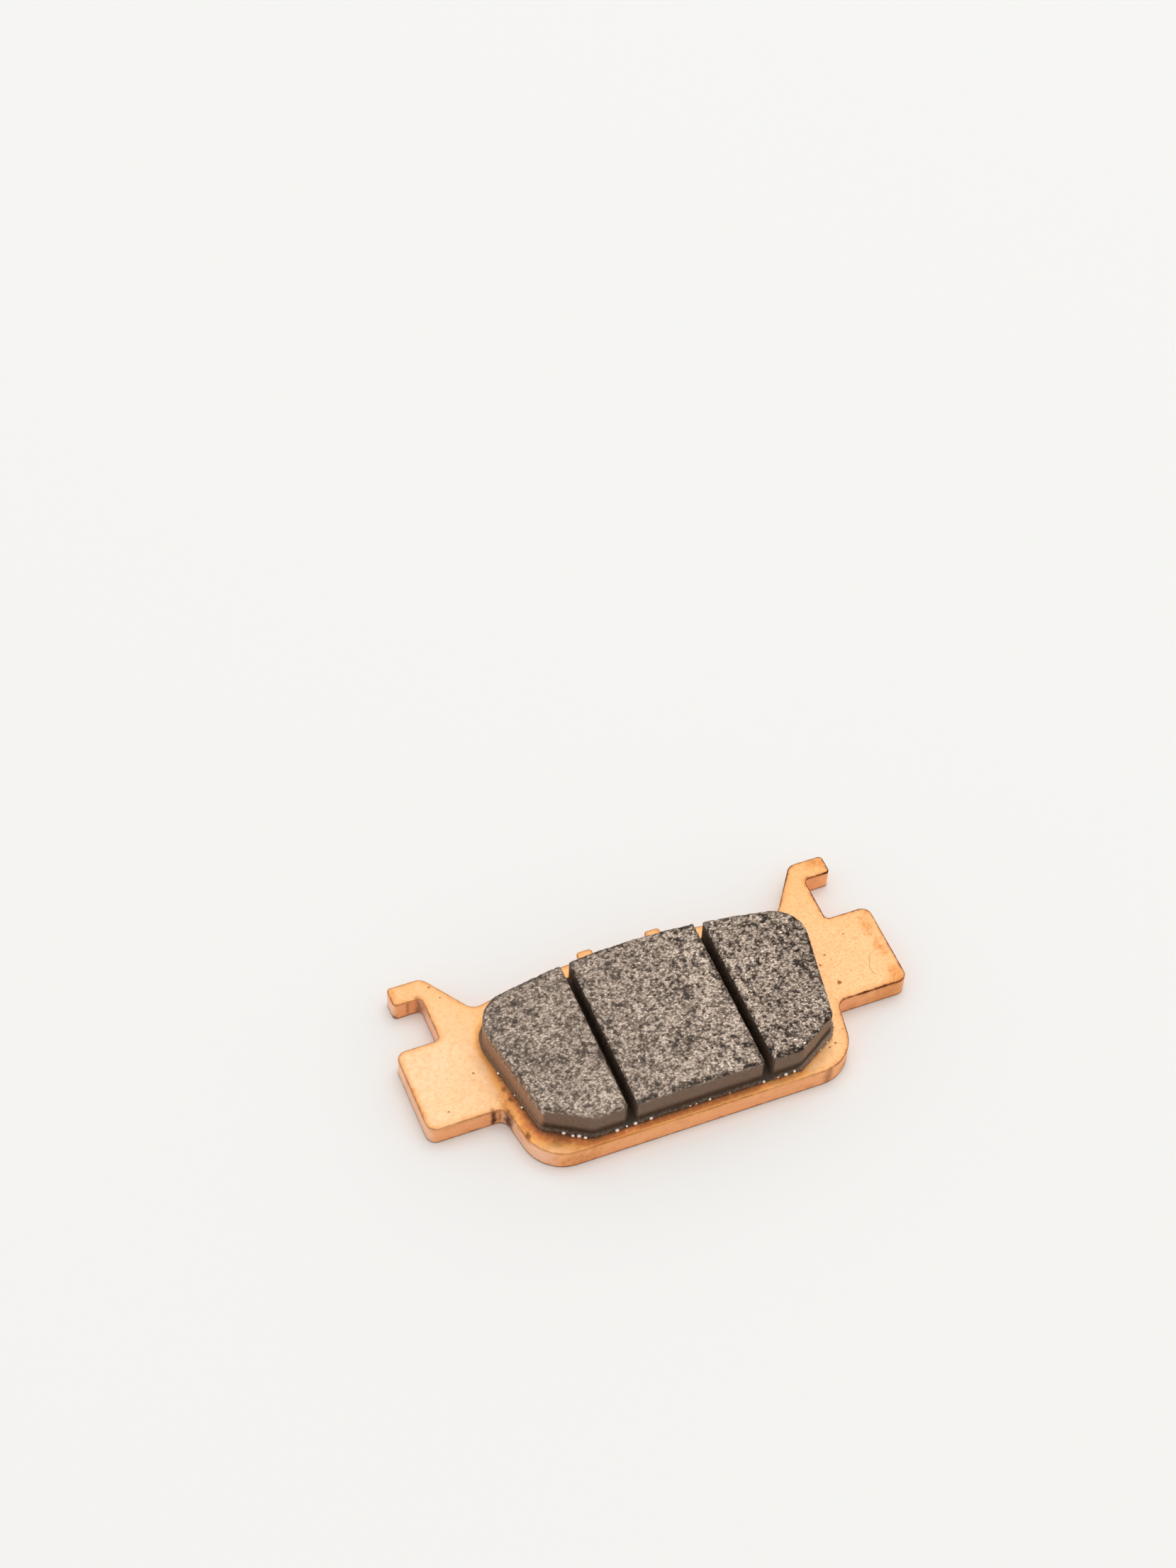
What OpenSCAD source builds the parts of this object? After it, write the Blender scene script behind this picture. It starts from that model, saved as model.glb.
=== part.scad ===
// Sintered brake pad for a disc brake: a stamped steel plate with hooked ears
// and side tabs, and a sintered friction block with two straight grooves.
// Millimetres. The origin is under the middle of the pad's outline, on the back
// face. X runs from tab to tab, Y from the straight front edge to the ears, Z
// through the thickness to the friction face.

/* [Plate] */
// Thickness of the steel plate
plate_t = 4.5; // [3:0.1:8]
// Width of the plate's body where the tabs leave it
body_w = 67.4; // [60:0.1:72]
// Lean of the body's sides below the tabs, in degrees
body_lean = 10.2; // [2:0.1:14]
// Radius of the two front corners
front_corner_r = 8; // [3:0.5:10]
// Height of the curved top edge at its middle, above the front edge
crown_h = 39.9; // [38:0.1:41]
// Radius of the curved top edge
crown_r = 135.8; // [120:0.1:220]

/* [Tabs] */
// Width over both tabs
tab_span = 97; // [93:0.1:110]
// Height of the tabs' lower sides above the front edge
tab_low = 13.5; // [11:0.1:17]
// Height of a tab
tab_h = 18.4; // [14:0.1:20]
// Radius of a tab's outer corners
tab_corner_r = 2; // [0.5:0.1:5]
// Radius of the inner corner under a tab
tab_root_r = 2; // [0.5:0.1:4]

/* [Slots] */
// Gap between a tab and the hook above it
slot_h = 10; // [8:0.1:13]
// Distance between the inner walls of the two slots
slot_span = 79.3; // [78.5:0.1:84]
// Radius of the corners at a slot's inner end
slot_r = 1; // [0.2:0.1:2.5]

/* [Ears] */
// Thickness of a hook
hook_t = 4.3; // [3:0.1:7]
// How far a hook reaches out beyond the inner wall of its slot
hook_reach = 5.5; // [3:0.1:7]
// Radius of a hook's outer corners
hook_corner_r = 0.8; // [0.2:0.1:1.4]
// How far the ear's inner top corner lies inside that wall, before rounding
ear_inset = 1.5; // [0.5:0.1:3]
// Slope of an ear's inner side, in degrees from upright
ear_slope = 34.5; // [28:0.5:38]
// Radius of the ear's inner top corner
ear_corner_r = 2.5; // [1:0.1:4]
// Radius of the valley between an ear and the curved top edge
valley_r = 2.5; // [1:0.1:4]

/* [Nubs] */
// Distance between the two nubs on the curved top edge
nub_pitch = 14; // [10:0.1:24]
// Width of a nub
nub_w = 3.2; // [2:0.1:5]
// Height of a nub above the curved edge
nub_h = 1.7; // [1:0.1:2.4]
// Radius of a nub's outer corners
nub_corner_r = 0.7; // [0.2:0.1:0.9]
// Radius of the corner between a nub and the curved edge
nub_root_r = 0.6; // [0.2:0.1:1]

/* [Friction block] */
// Height of the friction block above the plate
block_h = 6.6; // [3:0.1:9]
// Distance from the plate's front edge to the block's front face
block_front = 2.2; // [1:0.1:4]
// Distance from the plate's curved edge down to the block's curved face
block_back = 3.6; // [2:0.1:6]
// Distance from the plate's leaning sides to the block's sides
block_side = 3.4; // [1:0.1:5]
// Length of the block's straight front face, between its chamfers
front_flat = 41.6; // [34:0.1:46]
// Angle of the two front chamfers from the front face, in degrees
chamfer_angle = 30.5; // [20:0.5:45]
// Radius at both ends of a front chamfer
chamfer_r = 2; // [0.5:0.1:4]
// Radius of the two corners by the ears
block_corner_r = 6.5; // [2:0.1:8]

/* [Base and grooves] */
// Thickness of the thin base that joins the three lands
base_t = 0.7; // [0.4:0.1:1.5]
// How far the base stands out beyond the block's sides
base_lip = 0.55; // [0.1:0.1:0.8]
// Width of a groove
groove_w = 1.8; // [1:0.1:4]
// Distance between the two grooves, middle to middle
groove_pitch = 27.2; // [18:0.1:34]

/* [Hidden] */
$fn = 96;

tab_top = tab_low + tab_h;
hook_low = tab_top + slot_h;
ear_top = hook_low + hook_t;
front_half = body_w / 2 - tab_low * tan(body_lean);
hook_tip = slot_span / 2 + hook_reach;
crown_centre = [0, crown_h - crown_r];

// How far a corner cutter or filler reaches past the corner it rounds
reach = 1;
// A hair on a rounding radius, so that its arc crosses both sides cleanly
bite = 0.001;

// Arithmetic on plane vectors
function unit(v) = v / norm(v);
function left_of(v) = [-v.y, v.x];
function mirrored(points) = [for (i = [len(points) - 1:-1:0]) [-points[i].x, points[i].y]];
function reversed(list) = [for (i = [len(list) - 1:-1:0]) list[i]];

// Run along a line, from point p in direction d, to the centre of a circle of
// radius r that touches the line on its side n. The centre lies at the given
// distance from o: the nearer of the two answers, or the farther one.
function run_to_centre(p, d, n, r, o, distance, farther) =
    let (q = p + r * n - o, b = q * d, root = sqrt(b * b - q * q + distance * distance))
    farther ? root - b : -b - root;

// Where a line from point p in direction d first meets a circle, or leaves it
function line_meets_circle(p, d, o, r, farther) =
    p + run_to_centre(p, d, left_of(d), 0, o, r, farther) * d;

// The column between a corner and the arc that rounds it, from z = low to high:
// the corner point, the points where the arc starts and ends, and its centre
module corner_column(corner, start, end, centre, r, low, high) {
    beyond = corner + reach * unit(corner - centre);
    translate([0, 0, low]) linear_extrude(high - low) difference() {
        polygon([start, beyond, end, centre]);
        translate(centre) circle(r + bite);
    }
}

// The corner column of a polygon's vertex b, between its neighbours a and c
module vertex_column(a, b, c, r, low, high) {
    back = unit(a - b);
    on = unit(c - b);
    half = acos(back * on) / 2;
    run = r / tan(half);
    centre = b + r / sin(half) * unit(back + on);
    corner_column(b, b + run * back, b + run * on, centre, r, low, high);
}

// A slab over a polygon, listed anticlockwise, with each vertex rounded by its
// own radius: an outward corner is cut back and an inward one is filled
module rounded_slab(points, radii, height) {
    n = len(points);
    function before(i) = points[(i + n - 1) % n];
    function after(i) = points[(i + 1) % n];
    function is_outward(i) = cross(points[i] - before(i), after(i) - points[i]) > 0;
    rounded = [for (i = [0:n - 1]) if (radii[i] > 0) i];
    difference() {
        union() {
            linear_extrude(height) polygon(points);
            for (i = rounded)
                if (!is_outward(i))
                    vertex_column(before(i), points[i], after(i), radii[i], 0, height);
        }
        for (i = rounded)
            if (is_outward(i))
                vertex_column(before(i), points[i], after(i), radii[i], -reach, height + reach);
    }
}

// Both halves of something drawn on the +X side
module both_sides() {
    children();
    mirror([1, 0, 0]) children();
}

// Drawn from the front edge, then moved so that the outline is centred
module centred() {
    translate([0, -ear_top / 2, 0]) children();
}

// Backing plate

ear_corner = [slot_span / 2 - ear_inset, ear_top];
ear_down = [-sin(ear_slope), -cos(ear_slope)];
ear_valley = line_meets_circle(ear_corner, ear_down, crown_centre, crown_r, false);

plate_side = [
    [front_half, 0],
    [body_w / 2, tab_low],
    [tab_span / 2, tab_low],
    [tab_span / 2, tab_top],
    [slot_span / 2, tab_top],
    [slot_span / 2, hook_low],
    [hook_tip, hook_low],
    [hook_tip, ear_top],
    ear_corner,
    ear_valley,
];
plate_radii = [
    front_corner_r,
    tab_root_r,
    tab_corner_r,
    tab_corner_r,
    slot_r,
    slot_r,
    hook_corner_r,
    hook_corner_r,
    ear_corner_r,
    0,
];

// The filler in the inner corner between a straight side and the crown's arc,
// for a side through point p that comes down in direction d, filled on side n
module crown_filler(p, d, n, r) {
    centre = p + run_to_centre(p, d, n, r, crown_centre, crown_r + r, false) * d + r * n;
    corner = line_meets_circle(p, d, crown_centre, crown_r, false);
    on_arc = crown_centre + crown_r * unit(centre - crown_centre);
    corner_column(corner, centre - r * n, on_arc, centre, r, 0, plate_t);
}

// The stretch between the valleys that is bounded by the crown's arc
module crown() {
    intersection() {
        translate(crown_centre) cylinder(h = plate_t, r = crown_r, $fn = 360);
        translate([-ear_valley.x, front_corner_r, 0]) cube([2 * ear_valley.x, crown_h, plate_t]);
    }
}

// One nub, with its foot sunk in the crown and the corners beside it filled
module nub() {
    middle = nub_pitch / 2;
    top = crown_centre.y + sqrt(crown_r * crown_r - middle * middle) + nub_h;
    foot = crown_h - 2 * nub_h;
    inner = middle - nub_w / 2;
    outer = middle + nub_w / 2;
    rounded_slab(
        [[inner, foot], [outer, foot], [outer, top], [inner, top]],
        [0, 0, nub_corner_r, nub_corner_r],
        plate_t
    );
    crown_filler([inner, top], [0, -1], [-1, 0], nub_root_r);
    crown_filler([outer, top], [0, -1], [1, 0], nub_root_r);
}

module backing_plate() {
    color("#d99a5b") centred() {
        rounded_slab(
            concat(plate_side, mirrored(plate_side)),
            concat(plate_radii, reversed(plate_radii)),
            plate_t
        );
        crown();
        both_sides() {
            crown_filler(ear_corner, ear_down, left_of(-ear_down), valley_r);
            nub();
        }
    }
}

// Friction block

side_up = [sin(body_lean), cos(body_lean)];
side_in = left_of(side_up);
chamfer_dir = [cos(chamfer_angle), sin(chamfer_angle)];

// A slab over the block's outline, made larger all round by grow
module block_slab(grow, height) {
    arc_r = crown_r - block_back + grow;
    corner_r = block_corner_r + grow;
    bend_r = chamfer_r + grow;
    on_side = [front_half, 0] + (block_side - grow) * side_in;
    front_end = [front_flat / 2 + grow * tan(chamfer_angle / 2), block_front - grow];
    chamfer_run = cross(on_side - front_end, side_up) / cross(chamfer_dir, side_up);
    side_end = front_end + chamfer_run * chamfer_dir;
    half = [front_end, side_end, side_end + crown_h / cos(body_lean) * side_up];
    side_run = run_to_centre(
        side_end, side_up, side_in, corner_r, crown_centre, arc_r - corner_r, true
    );
    centre = side_end + side_run * side_up + corner_r * side_in;
    corner = line_meets_circle(side_end, side_up, crown_centre, arc_r, true);
    on_arc = crown_centre + arc_r * unit(centre - crown_centre);
    difference() {
        intersection() {
            rounded_slab(
                concat(half, mirrored(half)),
                [bend_r, bend_r, 0, 0, bend_r, bend_r],
                height
            );
            translate([0, crown_centre.y, -reach])
                cylinder(h = height + 2 * reach, r = arc_r, $fn = 360);
        }
        both_sides() corner_column(
            corner, centre - corner_r * side_in, on_arc, centre, corner_r, -reach, height + reach
        );
    }
}

// The gap between two lands, cut through them down to the base
module groove() {
    translate([groove_pitch / 2 - groove_w / 2, 0, -reach])
        cube([groove_w, crown_h + reach, block_h + 2 * reach]);
}

module lands() {
    difference() {
        block_slab(0, block_h - base_t);
        both_sides() groove();
    }
}

module friction_block() {
    color("#8c857d") centred() {
        translate([0, 0, plate_t]) block_slab(base_lip, base_t);
        translate([0, 0, plate_t + base_t]) lands();
    }
}

backing_plate();
friction_block();
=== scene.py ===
"""A sintered brake pad, lying on a pale table with its friction face up.

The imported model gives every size. Shapes are worked out in millimetres and
become metres when a mesh is made. The plate is rebuilt with rolled edges,
sheared walls and pits, and the friction block with broken grain and a ragged
foot, on which small beads of braze have frozen.
"""

import math
import random
from types import SimpleNamespace

import bmesh
import bpy
import numpy as np
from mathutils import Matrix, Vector, noise
from mathutils.geometry import delaunay_2d_cdt


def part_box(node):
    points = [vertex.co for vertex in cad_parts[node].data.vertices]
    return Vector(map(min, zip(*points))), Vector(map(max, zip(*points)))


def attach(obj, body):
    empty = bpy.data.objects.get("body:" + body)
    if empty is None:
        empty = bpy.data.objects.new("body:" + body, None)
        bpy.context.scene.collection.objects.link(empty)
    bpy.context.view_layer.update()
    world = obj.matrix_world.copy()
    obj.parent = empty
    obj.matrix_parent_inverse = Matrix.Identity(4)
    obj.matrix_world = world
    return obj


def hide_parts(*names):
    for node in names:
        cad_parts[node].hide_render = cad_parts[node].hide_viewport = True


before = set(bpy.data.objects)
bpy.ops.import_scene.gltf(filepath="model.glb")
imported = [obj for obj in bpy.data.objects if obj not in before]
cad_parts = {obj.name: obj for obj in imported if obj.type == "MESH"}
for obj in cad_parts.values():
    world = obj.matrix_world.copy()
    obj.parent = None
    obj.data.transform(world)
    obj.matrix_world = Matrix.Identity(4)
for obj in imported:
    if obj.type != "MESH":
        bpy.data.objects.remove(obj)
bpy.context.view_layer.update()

MM = 0.001
PLATE_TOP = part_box("backing_plate")[1].z / MM
BLOCK_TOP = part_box("friction_block")[1].z / MM
# A length too small to matter, in metres and in millimetres alike
TINY = 1e-6
# How far apart two seeds lie in the noise that shapes the meshes
SEED_STEP = 17.3

# The photograph's camera, from a fit to the plate's outline: millimetres and degrees
PHOTO_SIZE = (1659, 2212)
FOCAL_PIXELS = 4399.64
SENSOR = 36.0
CAMERA_PLACE = (-151.73, -297.51, 487.47)
CAMERA_TURN = (38.738, -1.966, -22.041)
CAMERA_REACH = (0.01, 20)

# The table: half its width in metres, and its gap below the pad in millimetres. A ray
# shorter than GAP_RAY crosses only that gap, and passes through the table.
TABLE_HALF = 2.5
TABLE_GAP = 0.02
GAP_RAY = 5 * TABLE_GAP

# The lamp: its place and width in metres, and its power in watts
LAMP_PLACE = (0.5, 0.6, 2.1)
LAMP_WIDTH = 1.5
LAMP_POWER = 8.6
# The white light all round: at the horizon, overhead and from below, and what the low
# part of it gains at both sides, at the right and in front
SKY_LOW = 0.47
SKY_HIGH = 0.96
SKY_BELOW = 0.35
SIDE_GAIN = 0.6
RIGHT_GAIN = 0.25
FRONT_GAIN = -0.12

# The plate's mesh, in millimetres: its steps along the outline, up the wall, on the upper
# face and on the back, and the first ring of both faces inside the outline
OUTLINE_STEP = 0.3
WALL_STEP = 0.3
FACE_STEP = 0.42
BACK_STEP = 0.8
FACE_INSET = 0.8
ROLL_STEPS = 5
# The least gap to the ring, as a share of a step, and to the points round the pits
RING_CLEARANCE = 0.4
PIT_CLEARANCE = 0.12
# Rings of points round a pit: share of its radius, number of points
PIT_RINGS = ((0.5, 8), (1.0, 12), (1.5, 14))

# The plate's rolled edges, in millimetres: inwards from the wall, and along it
TOP_ROLL = (0.42, 0.26)
FOOT_ROLL = (0.12, 0.14)
# The sheared wall: its setback, the depths of its waves and its shear marks, and how far
# from either face both are gone
WALL_SETBACK = 0.02
WAVE_DEPTH = 0.035
SHEAR_DEPTH = 0.012
WAVE_MARGIN = 0.5

# The friction block's cells and its grooves, in millimetres. Their walls stand a little to
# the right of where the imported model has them, as the photograph shows.
CELL = 0.21
GROOVE_MIDDLE = 13.6
GROOVE_HALF = 0.9
GROOVE_RIM = 0.35
GROOVE_SHIFT = 0.27
# The block's foot: its height, what a full swelling adds to it, and how far that swelling
# pushes out its side and its upper edge
LIP_HEIGHT = 0.7
LIP_RISE = 1.1
LIP_PUSH = 0.02
LIP_REACH = 0.55
# Depths of the block's grain: pores, single grains, walls, grooves, the foot and its ridges
PORE_DEPTH = 0.13
GRAIN_DEPTH = 0.02
WALL_GRAIN = 0.022
GROOVE_GRAIN = 0.08
FOOT_GRAIN = 0.11
FOOT_RIDGES = 0.1
# How far down the walls the cut grain runs, and how much further or less at each side
GRAIN_REACH = 1.15
MORE_AT_LEFT = 1.9
LESS_AT_RIGHT = 0.85
# The lands' faces are this deep, and nothing is measured nearer to their edges than this
LAND_SKIN = 0.12
EDGE_LEAST = 0.05
# The lands' edges: radius of the roll, depth of the crumbling, and how far in it goes
LAND_ROLL = 0.42
EDGE_CRUMBLE = 0.22
EDGE_ZONE = 0.6
# The dark creased band in the walls, partly painted shade: its top above the foot, and how far it
# takes to darken
CREASE_TOP = 2.1
CREASE_FADE = 1.6

# Beads of braze, in millimetres: how far they lie outside the foot and above the plate, a
# factor on their radii, and the least and most that each is squashed along x, y and z
BEAD_REACH = 0.25
BEAD_HEIGHT = 0.36
BEAD_SIZE = 1.12
BEAD_SQUASH = ((0.92, 1.05), (0.92, 1.05), (0.85, 0.98))
BEAD_SEED = 4

# Pits in the plate's upper face: x, y, radius, depth
PITS = (
    (41.2, 4.4, 0.22, 0.05),
    (35.8, 1.1, 0.3, 0.06),
    (34.0, -0.8, 0.3, 0.06),
    (35.6, -5.8, 0.36, 0.07),
    (35.95, -5.75, 0.32, 0.07),
    (35.7, -5.45, 0.26, 0.05),
    (-36.4, -0.4, 0.3, 0.04),
    (-43.6, -6.7, 0.25, 0.04),
    (-37.5, 20.6, 0.25, 0.05),
    (-36.3, 17.7, 0.2, 0.04),
    (29.2, -18.0, 0.3, 0.05),
    (27.8, -18.5, 0.26, 0.05),
    (31.8, -15.6, 0.22, 0.04),
)

# Heat tint on the plate along the block's foot: x, y, reach, strength
HEAT = (
    (-31.6, 2.0, 2.0, 0.4), (-32.4, -5.9, 2.9, 0.65), (-32.0, -8.2, 3.4, 0.85),
    (-31.9, -16.4, 4.0, 1.0), (-27.8, -18.9, 4.2, 1.0), (-22.5, -21.8, 3.8, 1.0),
    (-16.0, -22.2, 3.4, 1.0), (-6.0, -22.2, 3.0, 0.9), (8.0, -22.2, 2.9, 0.85),
    (19.0, -22.0, 2.5, 0.6), (24.0, -20.5, 1.4, 0.25), (28.0, -17.6, 1.0, 0.05),
    (31.5, -12.0, 0.9, 0.1), (31.0, 0.0, 0.9, 0.15), (27.0, 12.0, 1.0, 0.2),
    (0.0, 17.4, 1.6, 0.4), (-27.0, 12.0, 2.0, 0.4),
)

# Ragged patches on the plate: centre, stretch, radius, feather, raggedness, strength
TARNISH = (
    ((46.6, -7.4, 4.5), (0.9, 1.9, 1.5), 1.3, 0.9, 0.9, 0.9),
    ((46.6, -1.4, 4.5), (0.8, 2.0, 1.5), 1.0, 0.7, 0.9, 0.75),
    ((46.2, 4.6, 4.5), (1.0, 1.8, 1.5), 1.0, 0.7, 0.9, 0.7),
    ((47.4, 7.4, 4.5), (0.8, 1.0, 1.5), 0.9, 0.6, 0.8, 0.6),
    ((46.0, -9.6, 4.5), (2.2, 0.7, 1.5), 1.1, 0.8, 0.8, 0.85),
    ((43.4, 21.4, 4.5), (1.9, 1.0, 1.5), 1.1, 0.8, 0.9, 0.9),
    ((-44.6, 20.8, 4.5), (0.6, 1.9, 1.5), 0.9, 0.7, 0.8, 0.5),
    ((-48.2, -3.0, 4.5), (0.5, 4.0, 1.5), 0.9, 0.7, 0.7, 0.4),
    ((-47.6, -9.0, 4.5), (1.0, 0.8, 1.5), 0.9, 0.7, 0.7, 0.4),
    ((-33.4, -9.4, 4.5), (0.8, 2.4, 1.0), 1.1, 0.8, 0.9, 0.7),
    ((-32.2, -16.4, 4.5), (0.8, 2.2, 1.0), 1.0, 0.8, 0.8, 0.8),
    ((48.4, -7.0, 2.2), (1.2, 3.0, 2.4), 1.0, 0.8, 0.7, 0.9),
    ((44.6, -9.4, 2.0), (3.4, 1.2, 2.4), 1.0, 0.8, 0.7, 0.6),
    ((-24.0, -22.9, 1.8), (4.0, 1.6, 2.0), 1.0, 0.8, 0.9, 0.6),
)
STAINS = (
    ((-32.6, -5.9, 4.5), (0.7, 1.0, 1.0), 0.5, 0.35, 0.5, 0.6),
    ((-32.0, -8.1, 4.5), (0.6, 0.9, 1.0), 0.5, 0.35, 0.5, 0.65),
    ((-31.9, -16.8, 4.5), (0.7, 1.0, 1.0), 0.5, 0.4, 0.6, 0.6),
    ((-26.8, -19.8, 4.5), (1.8, 1.2, 1.0), 0.9, 0.8, 0.6, 0.4),
    ((-35.9, -9.9, 2.2), (0.5, 1.4, 2.6), 1.0, 0.6, 0.65, 0.95),
    ((-33.5, -10.9, 2.2), (0.5, 1.4, 2.6), 1.0, 0.6, 0.65, 0.9),
    ((-34.7, -10.2, 2.2), (0.3, 1.2, 2.4), 0.8, 0.5, 0.65, 0.5),
    ((-40.2, 18.2, 2.0), (0.6, 1.5, 2.6), 1.0, 0.6, 0.65, 0.55),
    ((-42.3, 18.2, 2.0), (0.3, 1.5, 2.6), 1.0, 0.6, 0.65, 0.45),
    ((-44.9, 19.0, 0.4), (0.6, 1.2, 0.6), 0.8, 0.5, 0.65, 0.7),
    ((25.7, -22.9, 2.0), (0.8, 0.8, 2.4), 1.0, 0.7, 0.5, 0.5),
    ((29.6, -20.0, 1.4), (1.8, 1.8, 1.0), 1.0, 0.8, 0.8, 0.35),
)

# Fine scratches on the plate: both ends, width, strength
SCRATCHES = (
    ((44.3, -1.4, 4.5), (43.5, -2.8, 4.5), 0.12, 0.4),
    ((43.5, -2.8, 4.5), (42.6, -4.7, 4.5), 0.12, 0.4),
    ((42.6, -4.7, 4.5), (42.7, -5.9, 4.5), 0.13, 0.45),
    ((42.7, -5.9, 4.5), (43.3, -6.6, 4.5), 0.12, 0.35),
    ((43.0, 2.9, 4.5), (43.4, 2.0, 4.5), 0.1, 0.35),
    ((42.6, 2.8, 4.5), (43.0, 2.1, 4.5), 0.1, 0.3),
    ((-38.0, 7.0, 0.0), (-20.0, 12.5, 0.0), 0.14, 0.4),
    ((5.0, -12.0, 0.0), (21.0, -8.0, 0.0), 0.14, 0.4),
    ((-14.0, -3.0, 0.0), (-6.5, -10.0, 0.0), 0.12, 0.35),
    ((30.0, 4.0, 0.0), (41.0, 1.0, 0.0), 0.12, 0.35),
)
# The two soft bands across the plate's back lie this far from its middle
BAND_MIDDLE = 24.5

# Swollen stretches of the block's foot: x, y, reach along it, share of a full swelling
LIP_SWELLS = (
    (30.6, -14.0, 2.2, 1.0),
    (27.6, -17.2, 3.2, 0.75),
    (23.0, -20.0, 2.5, 0.35),
    (-30.4, -1.5, 1.6, 0.3),
)

# Where the lands' dark edge fades, and where the grain is paler: x, y, both reaches, share
EDGE_FADE = (-20, -19, 8.5, 5.0, 0.85)
PALE_SPOTS = ((-18, -17, 8.0, 3.0, 0.35), (-27, -16, 3.5, 1.0, 0.5))

# Round beads of braze on the edge of the block's foot: x, y, radius
BEADS = (
    (-25.7, -18.6, 0.4), (-24.5, -20.0, 0.34), (-23.3, -20.2, 0.37), (-22.4, -21.0, 0.33),
    (-16.4, -21.5, 0.4), (-14.4, -21.3, 0.24), (-12.7, -21.3, 0.37), (-11.4, -21.2, 0.25),
    (-9.6, -21.3, 0.35), (-1.8, -21.1, 0.32), (-0.6, -21.3, 0.22), (2.1, -21.3, 0.3),
    (6.1, -21.1, 0.32), (12.2, -20.9, 0.24), (13.0, -21.3, 0.33), (15.9, -21.0, 0.34),
    (16.5, -21.2, 0.24), (17.5, -21.3, 0.37), (19.3, -21.1, 0.36), (25.8, -18.5, 0.25),
    (27.6, -17.5, 0.24), (-32.2, -2.3, 0.26), (-31.1, -7.9, 0.2), (-30.8, -10.8, 0.26),
)

# Colours of the copper coat: fresh, with painted light on the left tab and on walls that face left,
# on the sheared walls, heated, and burnt or rusted
LIT_PALE, BRIGHT = (0.92, 0.635, 0.395, 1), (0.91, 0.565, 0.29, 1)
WARM, SALMON = (0.86, 0.47, 0.185, 1), (0.84, 0.47, 0.29, 1)
SHEARED, LEFT_LIT_ROSY = (0.98, 0.5, 0.235, 1), (0.97, 0.62, 0.42, 1)
HONEY, AMBER = (0.98, 0.475, 0.15, 1), (0.84, 0.3, 0.098, 1)
EMBER, RUST = (0.84, 0.37, 0.115, 1), (0.44, 0.14, 0.04, 1)
BROWN, UMBER = (0.13, 0.04, 0.018, 1), (0.19, 0.11, 0.07, 1)

# Tones of the cut grain, from its pores up: place on the ramp, colour
GRAIN_TONES = (
    (0.05, (0.014, 0.009, 0.006)),
    (0.24, (0.062, 0.043, 0.031)),
    (0.42, (0.165, 0.122, 0.094)),
    (0.56, (0.285, 0.221, 0.175)),
    (0.72, (0.44, 0.35, 0.282)),
    (0.92, (0.74, 0.61, 0.505)),
)
# An even grain, and the pale colour of glint specks, partly a painted highlight
EVEN_GRAIN, PAINTED_GLINT = (0.2, 0.154, 0.122, 1), (0.95, 0.86, 0.75, 1)
# The block's skin in front, at its left with painted light, and in its speckles, its dark band above
# the foot with partly painted shade, and its grooves with painted shade
SKIN, LEFT_LIT_SKIN = (0.184, 0.118, 0.08, 1), (0.38, 0.205, 0.12, 1)
SKIN_SPECKLE, CREASE_SHADE_BROWN = (0.235, 0.165, 0.118, 1), (0.06, 0.034, 0.019, 1)
GROOVE_SHADE = (0.055, 0.041, 0.032, 1)
# The block's foot: in its hollows, on its grain, where it is swollen, and at its left
FOOT_DARK, FOOT_GREY = (0.062, 0.04, 0.026, 1), (0.21, 0.145, 0.1, 1)
FOOT_SWOLLEN, FOOT_LEFT = (0.46, 0.34, 0.25, 1), (0.2, 0.114, 0.068, 1)

BRAZE, DULL_BRAZE = (0.84, 0.81, 0.75, 1), (0.55, 0.46, 0.37, 1)
TABLE_WHITE, SKY_WHITE = (0.86, 0.857, 0.845, 1), (1.0, 0.995, 0.985, 1)


# Plane outlines


def welded(node):
    """A node's mesh, with the points that lie in one place joined."""
    mesh = bmesh.new()
    mesh.from_mesh(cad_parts[node].data)
    bmesh.ops.remove_doubles(mesh, verts=mesh.verts, dist=TINY)
    return mesh


def face_outlines(node, height):
    """The closed outlines of a node's flat faces at a height, anticlockwise."""
    mesh = welded(node)
    level = height * MM
    flat = {f for f in mesh.faces if all(abs(v.co.z - level) < TINY for v in f.verts)}
    beside = {}
    for edge in mesh.edges:
        if sum(face in flat for face in edge.link_faces) == 1:
            for vert in edge.verts:
                beside.setdefault(vert, []).append(edge.other_vert(vert))
    outlines = []
    while beside:
        last, here = None, next(iter(beside))
        loop = []
        while here in beside:
            loop.append((here.co.x / MM, here.co.y / MM))
            ahead = [v for v in beside.pop(here) if v is not last and v in beside]
            last, here = here, ahead[0] if ahead else None
        points = np.array(loop)
        outlines.append(points if signed_area(points) > 0 else points[::-1])
    mesh.free()
    return outlines


def signed_area(points):
    """The area inside an outline, below zero where it runs clockwise."""
    ahead = np.roll(points, -1, axis=0)
    return 0.5 * np.sum(points[:, 0] * ahead[:, 1] - ahead[:, 0] * points[:, 1])


def evenly_spaced(points, step):
    """The same closed outline with its points a step apart."""
    closed = np.vstack([points, points[:1]])
    run = np.concatenate([[0], np.cumsum(np.linalg.norm(np.diff(closed, axis=0), axis=1))])
    count = round(run[-1] / step)
    places = np.arange(count) * run[-1] / count
    return np.stack([np.interp(places, run, closed[:, k]) for k in (0, 1)], axis=1)


def inset(points, distance):
    """The outline moved inwards."""
    along = np.roll(points, -1, axis=0) - np.roll(points, 1, axis=0)
    along /= np.linalg.norm(along, axis=1)[:, None]
    return points + distance * np.stack([-along[:, 1], along[:, 0]], axis=1)


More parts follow.
